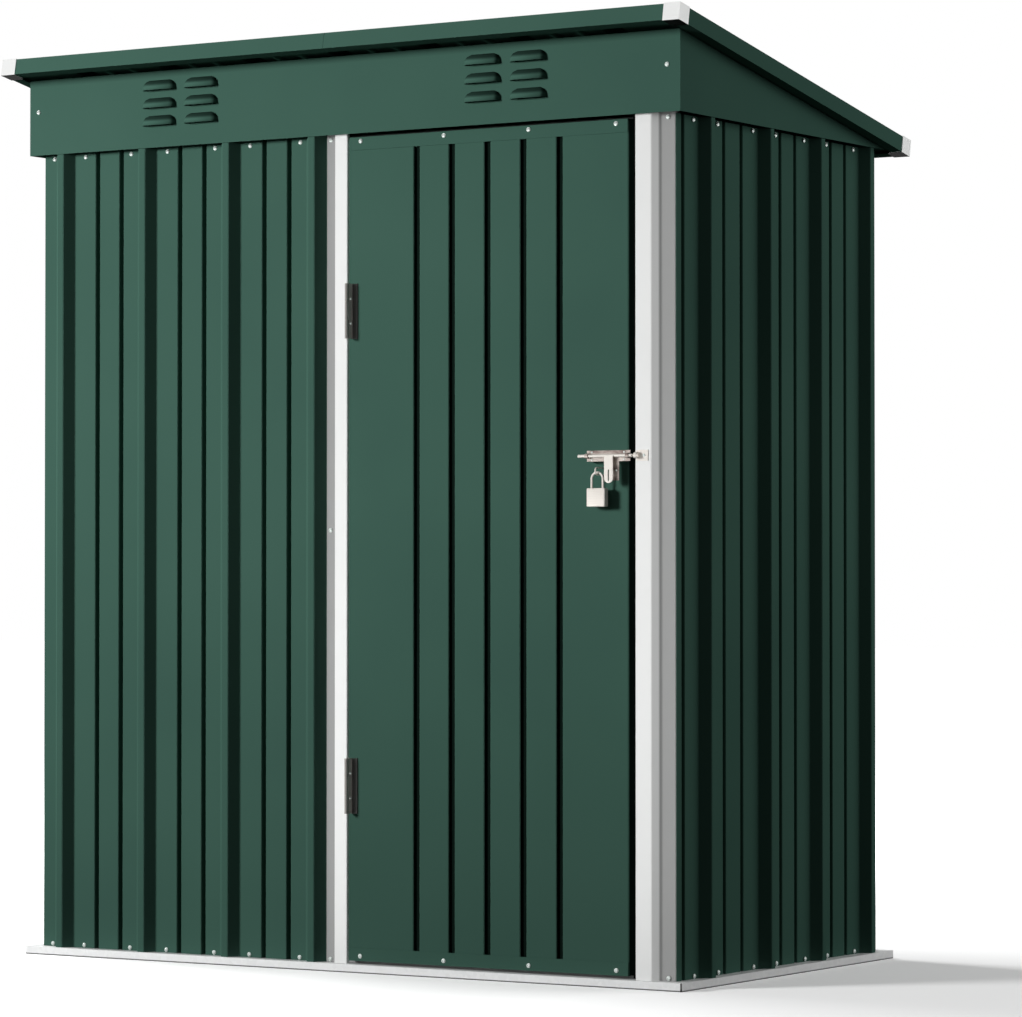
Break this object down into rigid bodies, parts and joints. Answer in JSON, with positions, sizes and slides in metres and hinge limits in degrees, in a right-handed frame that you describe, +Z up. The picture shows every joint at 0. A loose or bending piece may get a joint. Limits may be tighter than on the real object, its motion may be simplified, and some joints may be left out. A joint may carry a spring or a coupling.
{
  "type": "garden storage shed",
  "caption": "Small lean-to garden shed of ribbed green steel sheet with white corner posts, a louvred fascia, a hinged door and a bolt latch with a padlock.",
  "frame": {"origin": "on the ground, in the middle of the roof's outline", "axes": "+X to the right along the front, +Y from the front to the back, +Z up"},
  "size_m": [1.576, 0.926, 1.8],
  "materials": {
    "green_steel_sheet": "satin paint on rolled steel sheet",
    "white_steel_sheet": "satin paint on folded steel sheet",
    "galvanised_rail": "pale zinc coat on folded steel",
    "plated_hardware": "zinc plate",
    "lock_plating": "polished plate"
  },
  "bodies": {
    "shed": {"front_wall_panel": "green_steel_sheet", "side_wall_left_front": "green_steel_sheet", "side_wall_left_rear": "green_steel_sheet", "side_wall_right_front": "green_steel_sheet", "side_wall_right_rear": "green_steel_sheet", "back_wall_left": "green_steel_sheet", "back_wall_right": "green_steel_sheet", "front_fascia": "green_steel_sheet", "gable_left": "green_steel_sheet", "gable_right": "green_steel_sheet", "roof_panel_left": "green_steel_sheet", "roof_panel_right": "green_steel_sheet", "roof_trim_front_left": "green_steel_sheet", "roof_trim_front_right": "green_steel_sheet", "roof_trim_back": "green_steel_sheet", "roof_trim_left": "green_steel_sheet", "roof_trim_right": "green_steel_sheet", "door_jamb_post": "white_steel_sheet", "corner_post": "white_steel_sheet", "corner_cap_front_left": "white_steel_sheet", "corner_cap_front_right": "white_steel_sheet", "corner_cap_back_left": "white_steel_sheet", "corner_cap_back_right": "white_steel_sheet", "base_rail_front": "galvanised_rail", "base_rail_back": "galvanised_rail", "base_rail_left": "galvanised_rail", "base_rail_right": "galvanised_rail", "corner_angles": "galvanised_rail", "top_rail_front": "galvanised_rail", "top_rail_back": "galvanised_rail", "top_rail_left": "galvanised_rail", "top_rail_right": "galvanised_rail", "hinge_upper_jamb_leaf": "plated_hardware", "hinge_lower_jamb_leaf": "plated_hardware", "latch_keeper": "plated_hardware"},
    "door": {"door_panel": "green_steel_sheet", "door_top_rail": "green_steel_sheet", "door_bottom_rail": "green_steel_sheet", "hinge_upper_door_leaf": "plated_hardware", "hinge_lower_door_leaf": "plated_hardware", "latch_base": "plated_hardware", "latch_staple": "plated_hardware"},
    "bolt": {"bolt": "plated_hardware"},
    "padlock": {"padlock_body": "lock_plating", "padlock_shackle": "lock_plating"}
  },
  "joints": [
    {"name": "door", "type": "hinge", "parent": "shed", "child": "door", "pos_m": [0.0148, -0.40167, 0.9795], "axis": [0, 0, -1], "range_deg": [0, 150]},
    {"name": "bolt", "type": "slide", "parent": "door", "child": "bolt", "axis": [1, 0, 0], "range_m": [0, 0.018]},
    {"name": "padlock", "type": "hinge", "parent": "door", "child": "padlock", "pos_m": [0.578, -0.40197, 0.94915], "axis": [-1, 0, 0], "range_deg": [0, 60]}
  ]
}
